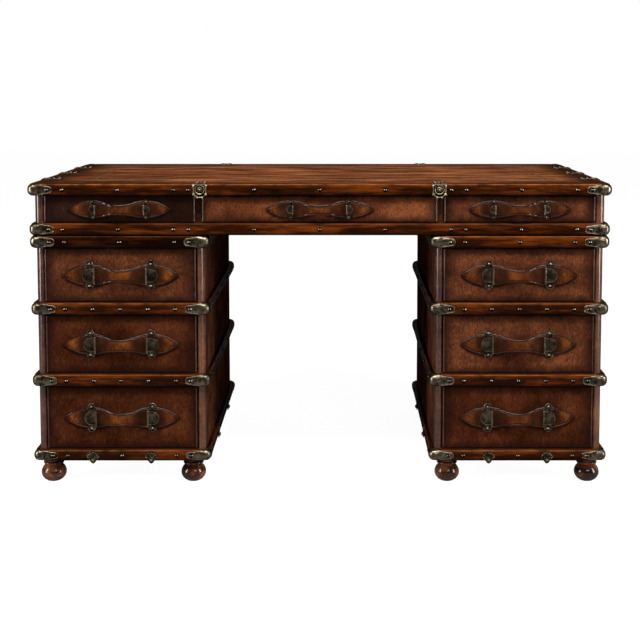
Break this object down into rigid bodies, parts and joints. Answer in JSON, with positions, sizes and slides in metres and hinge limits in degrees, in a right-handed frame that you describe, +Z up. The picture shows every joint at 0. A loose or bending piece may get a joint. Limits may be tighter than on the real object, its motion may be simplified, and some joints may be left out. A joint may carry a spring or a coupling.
{
  "type": "campaign desk",
  "caption": "Kneehole campaign desk with leather-clad drawers, wooden slats, brass corner caps and strap handles on two pedestals with bun feet.",
  "frame": {"origin": "on the floor under the middle of the desk's bounding box", "axes": "+Z up, +X along the width to the right of someone facing the drawers, drawers open towards -Y"},
  "size_m": [1.5222, 0.7768, 0.802],
  "materials": {
    "drawer_leather": "mottled reddish-brown hide over wood, waxed",
    "carcass_leather": "dark brown hide over wood, waxed",
    "top_leather": "brown hide with rubbed streaks",
    "strap_leather": "thick saddle leather with burnished edges",
    "slat_wood": "stained hardwood with a worn satin lacquer",
    "dark_wood": "polished dark hardwood",
    "carcass_wood": "plain inner wood",
    "aged_brass": "aged brass, dark in the hollows"
  },
  "bodies": {
    "desk": {"base_clasps": "aged_brass", "frieze_bottom_board": "carcass_wood", "frieze_panels": "carcass_leather", "frieze_posts": "carcass_leather", "frieze_slats": "slat_wood", "left_boards": "carcass_wood", "left_corner_caps": "aged_brass", "left_feet": "dark_wood", "left_panels": "carcass_leather", "left_posts": "carcass_leather", "left_slats": "slat_wood", "nails": "aged_brass", "right_boards": "carcass_wood", "right_corner_caps": "aged_brass", "right_feet": "dark_wood", "right_panels": "carcass_leather", "right_posts": "carcass_leather", "right_slats": "slat_wood", "support_battens": "carcass_wood", "top_board": "carcass_wood", "top_clasps": "aged_brass", "top_edge_slats": "slat_wood", "top_leather": "top_leather", "top_section_corner_caps": "aged_brass"},
    "left_lower_drawer": {"left_lower_drawer_box": "carcass_wood", "left_lower_drawer_fittings": "aged_brass", "left_lower_drawer_front": "drawer_leather", "left_lower_drawer_strap": "strap_leather"},
    "left_middle_drawer": {"left_middle_drawer_box": "carcass_wood", "left_middle_drawer_fittings": "aged_brass", "left_middle_drawer_front": "drawer_leather", "left_middle_drawer_strap": "strap_leather"},
    "left_upper_drawer": {"left_upper_drawer_box": "carcass_wood", "left_upper_drawer_fittings": "aged_brass", "left_upper_drawer_front": "drawer_leather", "left_upper_drawer_strap": "strap_leather"},
    "right_lower_drawer": {"right_lower_drawer_box": "carcass_wood", "right_lower_drawer_fittings": "aged_brass", "right_lower_drawer_front": "drawer_leather", "right_lower_drawer_strap": "strap_leather"},
    "right_middle_drawer": {"right_middle_drawer_box": "carcass_wood", "right_middle_drawer_fittings": "aged_brass", "right_middle_drawer_front": "drawer_leather", "right_middle_drawer_strap": "strap_leather"},
    "right_upper_drawer": {"right_upper_drawer_box": "carcass_wood", "right_upper_drawer_fittings": "aged_brass", "right_upper_drawer_front": "drawer_leather", "right_upper_drawer_strap": "strap_leather"},
    "frieze_left_drawer": {"frieze_left_drawer_box": "carcass_wood", "frieze_left_drawer_fittings": "aged_brass", "frieze_left_drawer_front": "drawer_leather", "frieze_left_drawer_strap": "strap_leather"},
    "frieze_right_drawer": {"frieze_right_drawer_box": "carcass_wood", "frieze_right_drawer_fittings": "aged_brass", "frieze_right_drawer_front": "drawer_leather", "frieze_right_drawer_strap": "strap_leather"},
    "frieze_centre_drawer": {"frieze_centre_drawer_box": "carcass_wood", "frieze_centre_drawer_fittings": "aged_brass", "frieze_centre_drawer_front": "drawer_leather", "frieze_centre_drawer_strap": "strap_leather"}
  },
  "joints": [
    {"name": "left_lower_drawer_slide", "type": "slide", "parent": "desk", "child": "left_lower_drawer", "axis": [0, -1, 0], "range_m": [0, 0.45]},
    {"name": "left_middle_drawer_slide", "type": "slide", "parent": "desk", "child": "left_middle_drawer", "axis": [0, -1, 0], "range_m": [0, 0.45]},
    {"name": "left_upper_drawer_slide", "type": "slide", "parent": "desk", "child": "left_upper_drawer", "axis": [0, -1, 0], "range_m": [0, 0.45]},
    {"name": "right_lower_drawer_slide", "type": "slide", "parent": "desk", "child": "right_lower_drawer", "axis": [0, -1, 0], "range_m": [0, 0.45]},
    {"name": "right_middle_drawer_slide", "type": "slide", "parent": "desk", "child": "right_middle_drawer", "axis": [0, -1, 0], "range_m": [0, 0.45]},
    {"name": "right_upper_drawer_slide", "type": "slide", "parent": "desk", "child": "right_upper_drawer", "axis": [0, -1, 0], "range_m": [0, 0.45]},
    {"name": "frieze_left_drawer_slide", "type": "slide", "parent": "desk", "child": "frieze_left_drawer", "axis": [0, -1, 0], "range_m": [0, 0.42]},
    {"name": "frieze_right_drawer_slide", "type": "slide", "parent": "desk", "child": "frieze_right_drawer", "axis": [0, -1, 0], "range_m": [0, 0.42]},
    {"name": "frieze_centre_drawer_slide", "type": "slide", "parent": "desk", "child": "frieze_centre_drawer", "axis": [0, -1, 0], "range_m": [0, 0.42]}
  ]
}
